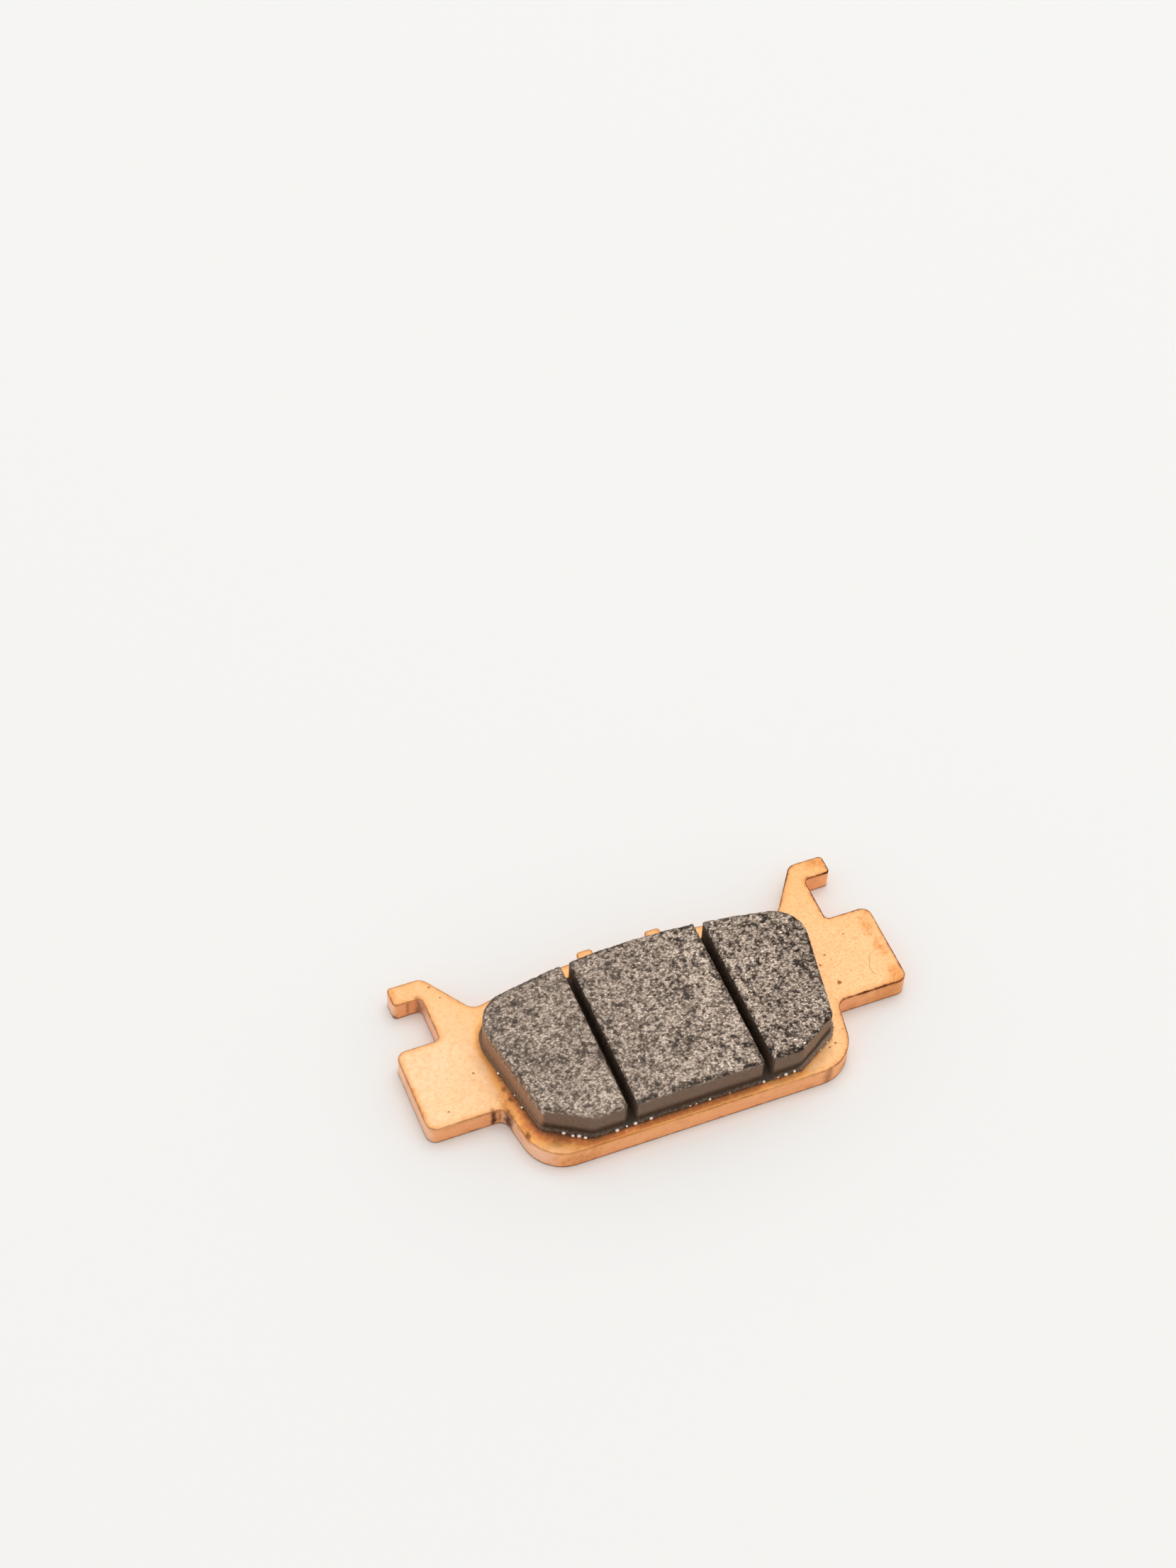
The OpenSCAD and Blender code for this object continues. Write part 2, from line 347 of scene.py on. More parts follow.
def way_to(outlines, places):
    """How far each place is from the nearest of the outlines, and the way to it."""
    nearest = np.full(len(places), 1e9)
    way = np.zeros((len(places), 2))
    for points in outlines:
        for a, b in zip(points, np.roll(points, -1, axis=0)):
            side = b - a
            share = np.clip((places - a) @ side / (side @ side), 0, 1)
            gap = a + share[:, None] * side - places
            size = np.einsum("ij,ij->i", gap, gap)
            closer = size < nearest
            nearest[closer] = size[closer]
            way[closer] = gap[closer]
    return np.sqrt(nearest), way


def distance_to(outlines, places):
    """How far each place is from the nearest of the outlines."""
    return way_to(outlines, places)[0]


def plan_distance(places, x, y):
    """How far each place is from one point, seen from above."""
    return np.hypot(places[:, 0] - x, places[:, 1] - y)


def is_inside(points, places):
    """Which places lie inside the outline."""
    inside = np.zeros(len(places), bool)
    ends = np.roll(points, -1, axis=0)
    for (ax, ay), (bx, by) in zip(points, ends):
        if ay != by:
            crosses = (ay > places[:, 1]) != (by > places[:, 1])
            at = ax + (places[:, 1] - ay) * (bx - ax) / (by - ay)
            inside ^= crosses & (places[:, 0] < at)
    return inside


def grain(places, size, seed):
    """Smooth noise between about -1 and 1, with features of the given size."""
    shift = SEED_STEP * seed
    return np.array([noise.noise((x + shift, y - shift, z + shift)) for x, y, z in places / size])


def ease(low, high, value):
    """A smooth step from 0 at low to 1 at high."""
    t = np.clip((value - low) / (high - low), 0, 1)
    return t * t * (3 - 2 * t)


# Meshes


def add_to_scene(name, data):
    """A new object in the scene."""
    made = bpy.data.objects.new(name, data)
    bpy.context.scene.collection.objects.link(made)
    return made


def new_piece(name, places, faces, node, marks=None):
    """A mesh piece on the pad, from places in millimetres, with marks for its finish."""
    mesh = bpy.data.meshes.new(name)
    mesh.from_pydata([tuple(p) for p in np.asarray(places) * MM], [], faces)
    for mark_name, values in (marks or {}).items():
        layer = mesh.attributes.new(mark_name, "FLOAT", "POINT")
        layer.data.foreach_set("value", np.asarray(values, np.float32))
    mesh.polygons.foreach_set("use_smooth", [True] * len(mesh.polygons))
    mesh.validate()
    piece = add_to_scene(name, mesh)
    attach(piece, "root")
    if node:
        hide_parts(node)
    return piece


# The plate


def filled_face(ring, step, extra):
    """Triangles inside a ring, over a staggered grid of points and some extra ones."""
    low, high = ring.min(axis=0), ring.max(axis=0)
    rows = []
    for row, y in enumerate(np.arange(low[1], high[1], step * math.sqrt(3) / 2)):
        x = np.arange(low[0] + (row % 2) * step / 2, high[0], step)
        rows.append(np.stack([x, np.full(len(x), y)], axis=1))
    grid = np.vstack(rows)
    grid = grid[is_inside(ring, grid)]
    grid = grid[distance_to([ring], grid) > RING_CLEARANCE * step]
    if len(extra):
        gaps = np.linalg.norm(grid[:, None, :] - extra[None, :, :], axis=2).min(axis=1)
        grid = np.vstack([grid[gaps > PIT_CLEARANCE], extra])
    places = np.vstack([ring, grid])
    count = len(ring)
    edges = [(i, (i + 1) % count) for i in range(count)]
    made = delaunay_2d_cdt([Vector(p) for p in places], edges, [], 1, TINY)
    points = np.array([tuple(p) for p in made[0]])
    return points[count:], [tuple(face) for face in made[2]]


def pit_points():
    """Extra points round each pit, so that the mesh can follow it."""
    points = []
    for x, y, radius, _ in PITS:
        points.append((x, y))
        for share, count in PIT_RINGS:
            reach = share * radius
            for k in range(count):
                turn = 2 * math.pi * (k + share) / count
                points.append((x + reach * math.cos(turn), y + reach * math.sin(turn)))
    return np.array(points)


def plate_profile():
    """Insets and heights from the back, up the wall and on to the upper face."""
    foot_in, foot_up = FOOT_ROLL
    top_in, top_down = TOP_ROLL
    wall_top = PLATE_TOP - top_down
    wall = wall_top - foot_up
    count = round(wall / WALL_STEP)
    turns = [(k + 1) / ROLL_STEPS * math.pi / 2 for k in range(ROLL_STEPS)]
    return [
        (FACE_INSET, 0.0),
        (foot_in, 0.0),
        *[(foot_in * (1 - math.sin(t)), foot_up * (1 - math.cos(t))) for t in turns],
        *[(0.0, foot_up + wall * k / count) for k in range(1, count + 1)],
        *[(top_in * (1 - math.cos(t)), wall_top + top_down * math.sin(t)) for t in turns],
        (FACE_INSET, PLATE_TOP),
    ]


def plate_walls(outline):
    """The walls' rings of points: waves and shear marks, gone where the edges roll."""
    profile = plate_profile()
    rings = [np.column_stack([inset(outline, i), np.full(len(outline), z)]) for i, z in profile]
    places = np.vstack(rings)
    outward = np.tile(inset(outline, -1.0) - outline, (len(rings), 1))
    height = places[:, 2]
    on_wall = ease(0.0, WAVE_MARGIN, height) * ease(PLATE_TOP, PLATE_TOP - WAVE_MARGIN, height)
    waves = WAVE_DEPTH * grain(places * (1, 1, 0.6), 2.2, seed=1)
    waves += SHEAR_DEPTH * grain(places * (1, 1, 2.5), 0.8, seed=2)
    places[:, :2] -= outward * (on_wall * (WALL_SETBACK + np.abs(waves)))[:, None]
    return places


def build_plate():
    """The stamped plate, with rolled edges, uneven sheared walls and pits."""
    outline = evenly_spaced(face_outlines("backing_plate", 0.0)[0], OUTLINE_STEP)
    count = len(outline)
    places = plate_walls(outline)
    top_start = len(places) - count
    faces = []
    for start in range(0, top_start, count):
        for k in range(count):
            on = (k + 1) % count
            faces.append((start + k, start + on, start + count + on, start + count + k))

    # Both flat faces, each inside its ring, with the back's triangles turned over
    upper = (top_start, PLATE_TOP, FACE_STEP, pit_points(), 1)
    lower = (0, 0.0, BACK_STEP, (), -1)
    for start, level, step, extra, order in (upper, lower):
        inner, triangles = filled_face(places[start:start + count, :2], step, extra)
        base = len(places) - count
        for corners in triangles:
            faces.append(tuple(v + (start if v < count else base) for v in corners[::order]))
        places = np.vstack([places, np.column_stack([inner, np.full(len(inner), level)])])

    marks = plate_marks(outline, places)
    sunk, marks["pit"] = pit_depths(places)
    places[:, 2] -= sunk
    return new_piece("plate_stamping", places, faces, "backing_plate", marks)


def plate_marks(outline, places):
    """Marks for the plate's finish: how far its edges are, heat and soot, and patches."""
    from_edge = distance_to([outline], places[:, :2])
    tint, soot = heat_beside_block(places)
    return {
        "rim_mm": np.hypot(from_edge, PLATE_TOP - places[:, 2]),
        "foot_mm": np.hypot(from_edge, places[:, 2]),
        "tint": tint,
        "soot": soot,
        "tarnish": patchiness(places, TARNISH),
        "stain": patchiness(places, STAINS),
    }


def pit_depths(places):
    """How deep each place on the upper face lies in the pits, and its share in one, from 0 to 1."""
    is_up = places[:, 2] > PLATE_TOP - 0.001
    sunk, share = np.zeros(len(places)), np.zeros(len(places))
    for x, y, radius, depth in PITS:
        in_pit = is_up * ease(1.3 * radius, 0.35 * radius, plan_distance(places, x, y))
        sunk += depth * in_pit
        share = np.maximum(share, in_pit)
    return sunk, share


def patchiness(places, patches):
    """How strongly each place on the plate is covered by one of the patches."""
    rough = grain(places, 1.1, seed=11) + 0.5 * grain(places, 0.5, seed=12)
    covered = np.zeros(len(places))
    for centre, stretch, radius, feather, ragged, strength in patches:
        away = np.linalg.norm((places - centre) / stretch, axis=1) + ragged * rough
        covered = np.maximum(covered, strength * ease(radius + feather, radius - feather, away))
    return covered


def heat_beside_block(places):
    """How strongly each place on the plate is tinted by the block's brazing, and darkened close to
    its foot, sooted and with painted shade.
    """
    block_foot = face_outlines("friction_block", PLATE_TOP)[0]
    gap = distance_to([block_foot], places[:, :2])
    gap[is_inside(block_foot, places[:, :2])] = 0
    shares = np.array([(1 + plan_distance(places, x, y) ** 2) ** -2 for x, y, _, _ in HEAT])
    shares /= shares.sum(axis=0)
    reach, strength = (np.array(HEAT)[:, column] @ shares for column in (2, 3))
    strength *= ease(PLATE_TOP - 0.6, PLATE_TOP - 0.1, places[:, 2])
    at_left = ease(-16, -28, places[:, 0])
    # Partly painted shade: darker close to the block's foot, and more so at its left
    soot = (0.9 + 0.5 * at_left) * ease(0.6 + 0.6 * at_left, 0.05, gap)
    return strength * ease(reach, 0, gap), strength * soot


# The friction block


def remeshed_block():
    """Even cells over the friction block's solid: places, normals and faces."""
    mesh = bpy.data.meshes.new("block cells")
    shell = welded("friction_block")
    shell.to_mesh(mesh)
    shell.free()
    cells = add_to_scene("block cells", mesh)
    remesh = cells.modifiers.new("cells", "REMESH")
    remesh.mode = "VOXEL"
    remesh.voxel_size = CELL * MM
    bpy.context.view_layer.update()
    graph = bpy.context.evaluated_depsgraph_get()
    made = bpy.data.meshes.new_from_object(cells.evaluated_get(graph))
    bpy.data.objects.remove(cells)

    # One face is enough where the block sits on the plate
    shell = bmesh.new()
    shell.from_mesh(made)
    seat_top = (PLATE_TOP + 0.1) * MM
    seat = [f for f in shell.faces if f.normal.z < -0.9 and f.verts[0].co.z < seat_top]
    bmesh.ops.dissolve_faces(shell, faces=seat)
    shell.verts.index_update()
    places = np.array([tuple(v.co) for v in shell.verts])
    normals = np.array([tuple(v.normal) for v in shell.verts])
    faces = [tuple(v.index for v in f.verts) for f in shell.faces]
    shell.free()
    return places / MM, normals, faces


def survey(places, normals):
    """What the steps that shape the block ask about each place on it."""
    edge, way = way_to(face_outlines("friction_block", BLOCK_TOP), places[:, :2])
    depth = BLOCK_TOP - places[:, 2]
    above_plate = places[:, 2] - PLATE_TOP
    is_top = depth < LAND_SKIN
    level = normals[:, :2]
    outward = level / np.clip(np.linalg.norm(level, axis=1), TINY, None)[:, None]
    from_edge = -way / np.clip(edge, EDGE_LEAST, None)[:, None]
    on_land = is_top & (edge > EDGE_LEAST)
    on_ledge = (above_plate < LIP_HEIGHT + 0.1) & (edge > 0.15)
    facing = np.where(on_ledge, from_edge[:, 0], normals[:, 0])
    from_groove = np.abs(np.abs(places[:, 0]) - GROOVE_MIDDLE)
    at_groove = from_groove < GROOVE_HALF + GROOVE_RIM
    coarse = grain(places, 0.95, seed=3)
    medium = grain(places, 0.45, seed=4)
    return SimpleNamespace(
        places=places,
        edge=edge,
        depth=depth,
        above_plate=above_plate,
        is_top=is_top,
        buried=above_plate < 0.1,
        inward=np.where(on_land[:, None], from_edge, -outward),
        to_left=ease(0.6, 0.9, -facing),
        to_right=ease(0.3, 0.55, facing),
        from_groove=from_groove,
        at_groove=at_groove,
        in_groove=at_groove * ease(0.1, 0.6, depth) * (above_plate > 0.3),
        coarse=coarse,
        medium=medium,
        rough=0.6 * coarse + 0.4 * medium,
    )


def shape_foot(site):
    """The block's foot: how swollen it is, how high it reaches, and which places it takes in."""
    swell = np.zeros(len(site.places))
    for x, y, reach, share in LIP_SWELLS:
        away = plan_distance(site.places, x, y)
        swell = np.maximum(swell, share * ease(1.6 * reach, 0.4 * reach, away))
    height = LIP_HEIGHT + LIP_RISE * swell
    return swell, height, ease(height + 0.2, height - 0.05, site.above_plate) * ~site.is_top


def cut_grain(site):
    """Where the cut grain shows, as it runs over the lands' edges, and its pores."""
    reach = GRAIN_REACH + MORE_AT_LEFT * site.to_left - LESS_AT_RIGHT * site.to_right
    reach *= np.where(site.at_groove, 0.6, 1.0)
    over_edge = ease(1.0, 0.4, (site.depth + 0.5 * site.coarse) / reach) * (site.edge < 0.75)
    broad = grain(site.places, 2.6, seed=5)
    return np.where(site.is_top, 1.0, over_edge), ease(-0.02, 0.45, site.rough + 0.2 * broad)


def outward_push(site, swell, on_foot, grainy, pore):
    """How far each place on the block moves out along its normal."""
    ridges = grain(site.places * (1, 1, 0.3), 0.55, seed=8)
    upper_edge = site.above_plate > LIP_HEIGHT - 0.1
    push = on_foot * swell * (LIP_PUSH + LIP_REACH * upper_edge)
    push += on_foot * (FOOT_GRAIN * site.coarse + FOOT_RIDGES * ridges)
    push += (1 - on_foot) * ~site.is_top * WALL_GRAIN * site.rough
    push -= grainy * (PORE_DEPTH * pore - GRAIN_DEPTH * site.medium)
    push -= site.in_groove * GROOVE_GRAIN * np.abs(site.coarse)
    push[site.buried] = 0
    return push


def rolled(run, radius):
    """Where a sharp edge's face goes when the edge is rolled: along it, and into it."""
    turn = math.pi / 4 * (1 - np.clip(run / radius, 0, 1))
    on_roll = run < radius
    along = np.where(on_roll, radius * (1 - np.sin(turn)) - run, 0)
    return along, np.where(on_roll, radius * (1 - np.cos(turn)), 0)


def edge_wear(site):
    """How each place moves where the lands' edges are rolled and crumbled."""
    radius = LAND_ROLL * (1 + 0.5 * grain(site.places, 2.2, seed=9) + 0.3 * site.coarse)
    crumbs = grain(site.places, 0.9, seed=6) + 0.45 * grain(site.places, 0.45, seed=7) + 0.2
    run = np.where(site.is_top, site.edge, site.depth)
    along, into = rolled(run, radius)
    chip = EDGE_CRUMBLE * (1 + 0.4 * site.at_groove) * np.clip(crumbs, 0, 1.1)
    chip *= 0.7 * ease(EDGE_ZONE, 0.0, run)
    by_edge = site.is_top | (site.edge < EDGE_ZONE)
    back = by_edge * (np.where(site.is_top, along, into) + chip)
    down = by_edge * (np.where(site.is_top, into, along) + chip)
    moves = np.column_stack([site.inward * back[:, None], -down])
    moves[:, 0] += GROOVE_SHIFT * ease(2.2, 1.0, site.from_groove) * ~site.buried
    return moves


def dark_edge(site):
    """How much darker the grain is: along the lands' edges, and less so at the left front."""
    run = np.where(site.is_top, site.edge, 0.5 * site.depth)
    patchy = grain(site.places, 5.0, seed=10) + 0.4 * site.coarse
    at_left = ease(0.5, 0.9, site.inward[:, 0]) * (site.edge < 1.2)
    x, y, outer, inner, share = EDGE_FADE
    band = ease(1.0, 0.15, run) * ease(-0.25, 0.3, patchy) * (1 - 0.7 * at_left)
    band *= 1 - share * ease(outer, inner, plan_distance(site.places, x, y))
    for x, y, outer, inner, share in PALE_SPOTS:
        band -= share * ease(outer, inner, plan_distance(site.places, x, y))
    return band - 0.1 * at_left + 0.18 * ease(14.0, 20.0, site.places[:, 0])


def build_block():
    """The sintered block: pitted lands, rolled and crumbled edges, and a ragged foot."""
    places, normals, faces = remeshed_block()
    site = survey(places, normals)
    swell, foot_height, on_foot = shape_foot(site)
    grainy, pore = cut_grain(site)
    push = outward_push(site, swell, on_foot, grainy, pore)
    moved = places + normals * push[:, None] + edge_wear(site)
    crease_top = foot_height + CREASE_TOP + 0.2 * swell
    crease_low = crease_top - CREASE_FADE + 0.2 * swell
    marks = {
        "pore": pore * grainy,
        "top": grainy,
        "lip": on_foot,
        "groove": site.in_groove,
        # Partly painted shade: a dark band above the foot, faint where walls face left
        "crease": ease(crease_top, crease_low, site.above_plate) * (1 - 0.85 * site.to_left),
        "band": dark_edge(site),
        # How much a wall faces the sides, most at the left: it weights the painted light on the skin
        "side": site.to_left + 0.35 * site.to_right,
        "swell": swell,
    }
    return new_piece("sintered_block", moved, faces, "friction_block", marks)


def build_beads():
    """Small beads of braze that froze on the upper edge of the block's foot."""
    foot = evenly_spaced(face_outlines("friction_block", PLATE_TOP)[0], 0.1)
    ball = bmesh.new()
    bmesh.ops.create_icosphere(ball, subdivisions=3, radius=1)
    points = [vert.co.copy() for vert in ball.verts]
    corners = [[vert.index for vert in face.verts] for face in ball.faces]
    ball.free()
    draw = random.Random(BEAD_SEED)
    places, faces = [], []
    for x, y, radius in BEADS:
        nearest = foot[np.argmin(plan_distance(foot, x, y))]
        outward = np.array((x, y)) - nearest
        place = nearest + outward * min(1, BEAD_REACH / np.linalg.norm(outward))
        centre = np.array([*place, PLATE_TOP + BEAD_HEIGHT])
        squash = np.array([draw.uniform(least, most) for least, most in BEAD_SQUASH])
        faces += [tuple(len(places) + index for index in face) for face in corners]
        for point in points:
            swell = 1 + 0.05 * noise.noise(point * 1.4 + Vector(centre))
            places.append(centre + np.array(point) * squash * swell * BEAD_SIZE * radius)
    return new_piece("braze_beads", places, faces, None)


# Nodes for the finishes


def put(tree, kind, inputs=None, **settings):
    """A new node: its settings, and its inputs as plain values or as sockets."""
    node = tree.nodes.new(kind)
    for name, value in settings.items():
        setattr(node, name, value)
    for name, value in (inputs or {}).items():
        socket = node.inputs[name]
        if isinstance(value, bpy.types.NodeSocket):
            tree.links.new(value, socket)
        else:
            socket.default_value = value
    return node


def connect(tree, node, **sockets):
    """Links to a node's inputs, whose names have _ for a space here."""
    for name, socket in sockets.items():
        tree.links.new(socket, node.inputs[name.replace("_", " ")])


def calc(tree, operation, *values, clamp=False):
    """The result of one sum."""
    inputs = dict(enumerate(values))
    return put(tree, "ShaderNodeMath", inputs, operation=operation, use_clamp=clamp).outputs[0]


def times(tree, first, second, clamp=False):
    """The product of two values."""
    return calc(tree, "MULTIPLY", first, second, clamp=clamp)


def vector_calc(tree, operation, *values, output=0):
    """The result of one sum on vectors."""
    inputs = dict(enumerate(values))
    return put(tree, "ShaderNodeVectorMath", inputs, operation=operation).outputs[output]


def scaled(tree, vector, factor):
    """A vector times a value."""
    inputs = {0: vector, "Scale": factor}
    return put(tree, "ShaderNodeVectorMath", inputs, operation="SCALE").outputs[0]


def parts_of(tree, vector):
    """The x, y and z of a vector."""
    return put(tree, "ShaderNodeSeparateXYZ", {0: vector}).outputs


def step_between(tree, value, low, high, to_low=0.0, to_high=1.0):
    """A smooth step of a value, from to_low at low to to_high at high."""
    inputs = {"Value": value, "From Min": low, "From Max": high, "To Min": to_low, "To Max": to_high}
    return put(tree, "ShaderNodeMapRange", inputs, interpolation_type="SMOOTHSTEP").outputs["Result"]


def blend(tree, share, first, second):
    """A share of the second colour over the first."""
    inputs = {0: share, 6: first, 7: second}
    return put(tree, "ShaderNodeMix", inputs, data_type="RGBA").outputs[2]


def noise_at(tree, position, size, detail=2.0, roughness=0.5):
    """Noise from 0 to 1, with features of a size in the position's own unit."""
    scale = calc(tree, "DIVIDE", 1.0, size)
    inputs = {"Vector": position, "Scale": scale, "Detail": detail, "Roughness": roughness}
    return put(tree, "ShaderNodeTexNoise", inputs, noise_dimensions="3D").outputs["Fac"]


def cells_at(tree, position, size):
    """Random cells of a size, and the random numbers that each of them has."""
    scale = calc(tree, "DIVIDE", 1.0, size)
    cells = put(tree, "ShaderNodeTexVoronoi", {"Vector": position, "Scale": scale}).outputs
    return cells, put(tree, "ShaderNodeSeparateColor", {"Color": cells["Color"]}).outputs


def ramp(tree, value, stops):
    """A colour ramp through pairs of a place and a colour."""
    node = put(tree, "ShaderNodeValToRGB", {"Fac": value})
    elements = node.color_ramp.elements
    while len(elements) < len(stops):
        elements.new(0.5)
    for element, (place, colour) in zip(elements, stops):
        element.position = place
        element.color = (*colour, 1)
    return node.outputs["Color"]


# Effects that the finishes share, each a group of nodes


ORIGIN = (0, 0, 0)


def new_group(name, outputs=("Mask",), **inputs):
    """A new node group and what it is given, each input with the value it starts from."""
    tree = bpy.data.node_groups.new(name, "ShaderNodeTree")
    for socket, value in inputs.items():
        kind = "NodeSocketVector" if isinstance(value, tuple) else "NodeSocketFloat"
        tree.interface.new_socket(socket, in_out="INPUT", socket_type=kind).default_value = value
    for socket in outputs:
        kind = "NodeSocketVector" if socket == "Normal" else "NodeSocketFloat"
        tree.interface.new_socket(socket, in_out="OUTPUT", socket_type=kind)
    given = tree.nodes.new("NodeGroupInput").outputs
    return tree, given, tree.nodes.new("NodeGroupOutput")


def make_mottle():
    """Soft clouds between two levels of noise."""
    tree, given, out = new_group("mottle", Position=ORIGIN, Size=1.0, Low=0.4, High=0.6)
    value = noise_at(tree, given["Position"], given["Size"], 3.0, 0.55)
    connect(tree, out, Mask=step_between(tree, value, given["Low"], given["High"]))
    return tree


def make_specks():
    """Small round specks in some of the cells of a random grid."""
    tree, given, out = new_group("specks", Position=ORIGIN, Size=1.0, Share=0.2, Radius=0.3)
    cells, draws = cells_at(tree, given["Position"], given["Size"])
    chosen = calc(tree, "LESS_THAN", draws["Red"], given["Share"])
    reach = times(tree, given["Radius"], draws["Green"])
    near, far = times(tree, reach, 0.5), calc(tree, "ADD", reach, 0.02)
    dot = step_between(tree, cells["Distance"], near, far, 1.0, 0.0)
    connect(tree, out, Mask=times(tree, dot, chosen))
    return tree


def make_rim():
    """A worn line along an edge, from a distance to it in millimetres."""
    tree, given, out = new_group("rim", Rough=0.5, Distance=1.0, Core=0.0, Reach=0.3, Ragged=0.2)
    rough = calc(tree, "SUBTRACT", given["Rough"], 0.5)
    ragged = times(tree, given["Ragged"], 3.0)
    wander = calc(tree, "MULTIPLY_ADD", rough, ragged, given["Distance"])
    connect(tree, out, Mask=step_between(tree, wander, given["Core"], given["Reach"], 1.0, 0.0))
    return tree


def make_scratch():
    """One fine straight scratch between two places."""
    tree, given, out = new_group("scratch", Position=ORIGIN, From=ORIGIN, To=(1, 0, 0), Width=0.1)
    side = vector_calc(tree, "SUBTRACT", given["To"], given["From"])
    gone = vector_calc(tree, "SUBTRACT", given["Position"], given["From"])
    along = vector_calc(tree, "DOT_PRODUCT", gone, side, output="Value")
    whole = vector_calc(tree, "DOT_PRODUCT", side, side, output="Value")
    foot = scaled(tree, side, calc(tree, "DIVIDE", along, whole, clamp=True))
    off = vector_calc(tree, "SUBTRACT", gone, foot)
    away = vector_calc(tree, "LENGTH", off, output="Value")
    connect(tree, out, Mask=step_between(tree, away, 0.0, given["Width"], 1.0, 0.0))
    return tree


def make_facets():
    """Tiny flat crystals: a normal that tips at random from cell to cell."""
    tree, given, out = new_group(
        "facets", ("Normal", "Tone", "Rise"), Position=ORIGIN, Size=0.3, Tip=0.3, Normal=ORIGIN
    )
    cells, draws = cells_at(tree, given["Position"], given["Size"])
    turn = vector_calc(tree, "SUBTRACT", cells["Color"], (0.5, 0.5, 0.5))
    tipped = vector_calc(tree, "ADD", scaled(tree, turn, given["Tip"]), given["Normal"])
    rise = calc(tree, "SUBTRACT", 1.0, cells["Distance"])
    connect(tree, out, Normal=vector_calc(tree, "NORMALIZE", tipped), Tone=draws["Blue"], Rise=rise)
    return tree


MOTTLE, SPECKS, RIM = make_mottle(), make_specks(), make_rim()
SCRATCH, FACETS = make_scratch(), make_facets()


def use(tree, group, output="Mask", **inputs):
    """One output of a node group, with this use's own values."""
    return put(tree, "ShaderNodeGroup", inputs, node_tree=group).outputs[output]


def strongest(tree, first, *others):
    """The strongest of some masks, where each after the first comes with its share."""
    for mask, share in others:
        first = calc(tree, "MAXIMUM", first, times(tree, mask, share))
    return first


# Finishes


def new_material(name):
    """A material, its node tree and its shader."""
    material = bpy.data.materials.new(name)
    material.use_nodes = True
    tree = material.node_tree
    return material, tree, tree.nodes["Principled BSDF"]


def sources_in(tree, *names):
    """The position on the pad in millimetres, and the marks of these names on a mesh."""
    on = SimpleNamespace()
    on.position = scaled(tree, put(tree, "ShaderNodeTexCoord").outputs["Object"], 1 / MM)
    for name in names:
        setattr(on, name, put(tree, "ShaderNodeAttribute", attribute_name=name).outputs["Fac"])
    return on


def copper_sources(tree):
    """What the layers of the copper coat are worked out from."""
    on = sources_in(tree, "rim_mm", "foot_mm", "tint", "soot", "tarnish", "stain", "pit")
    on.across, on.back, _ = parts_of(tree, on.position)
    facing = put(tree, "ShaderNodeNewGeometry").outputs["True Normal"]
    on.sideways, _, upward = parts_of(tree, facing)
    on.wall = step_between(tree, calc(tree, "ABSOLUTE", upward), 0.5, 0.2)
    on.under = step_between(tree, upward, -0.3, -0.6)
    on.rough = noise_at(tree, on.position, 1.1, 4.0, 0.62)
    on.mist = use(tree, MOTTLE, Position=on.position, Size=0.8, Low=0.42, High=0.68)
    on.flecks = use(tree, MOTTLE, Position=on.position, Size=0.38, Low=0.5, High=0.68)
    on.specks = use(tree, SPECKS, Position=on.position, Size=1.5, Share=0.5, Radius=0.15)

    # Edges are burnt in patches, and most of all on the right tab
    heavy = step_between(tree, on.across, 20.0, 42.0, 0.38, 1.0)
    patchy = step_between(tree, noise_at(tree, on.position, 6.0, 2.0), 0.35, 0.65, 0.5, 1.0)
    on.edge_share = times(tree, heavy, patchy)
    return on


def coat_layer(tree, on):
    """The coat: paler on the left tab as painted light, warmer towards the ears as painted shade,
    with flecks and a margin.
    """
    clouds = use(tree, MOTTLE, Position=on.position, Size=7.0, Low=0.35, High=0.7)
    # Painted light and shade: paler on the left tab, warmer and darker towards the ears
    colour = blend(tree, step_between(tree, on.across, -28.0, -40.0, 0.0, 0.8), BRIGHT, LIT_PALE)
    colour = blend(tree, step_between(tree, on.back, 3.0, 22.0, 0.0, 0.6), colour, WARM)
    colour = blend(tree, times(tree, clouds, 0.25), colour, WARM)
    colour = blend(tree, times(tree, on.mist, 0.25), colour, WARM)
    along_pad = vector_calc(tree, "MULTIPLY", on.position, (0.6, 1.3, 1.0))
    dashes = use(tree, MOTTLE, Position=along_pad, Size=0.4, Low=0.57, High=0.67)
    flecked = strongest(tree, times(tree, on.flecks, 0.7), (dashes, 0.6))
    flecked = times(tree, flecked, step_between(tree, on.across, -30.0, 40.0, 0.45, 1.0))
    margin = use(tree, RIM, Rough=on.rough, Distance=on.rim_mm, Reach=1.7, Ragged=0.6)
    return blend(tree, strongest(tree, flecked, (margin, 0.6)), colour, EMBER)


def wall_layer(tree, on, colour):
    """A pinker back, and uncoated sheared walls with streaks along them, paler and pinker where they
    face left as painted light.
    """
    colour = blend(tree, times(tree, on.under, 0.8), colour, SALMON)
    # Painted light: walls that face left are paler and pinker
    bare_and_lit = blend(tree, step_between(tree, on.sideways, -0.3, -0.8), SHEARED, LEFT_LIT_ROSY)
    colour = blend(tree, on.wall, colour, bare_and_lit)
    along_wall = vector_calc(tree, "MULTIPLY", on.position, (0.35, 0.35, 3.0))
    streaks = use(tree, MOTTLE, Position=along_wall, Size=1.1, Low=0.45, High=0.8)
    blotches = use(tree, MOTTLE, Position=on.position, Size=2.6, Low=0.48, High=0.8)
    worn = strongest(tree, times(tree, streaks, 0.25), (blotches, 0.35), (on.flecks, 0.12))
    return blend(tree, times(tree, on.wall, worn), colour, RUST)


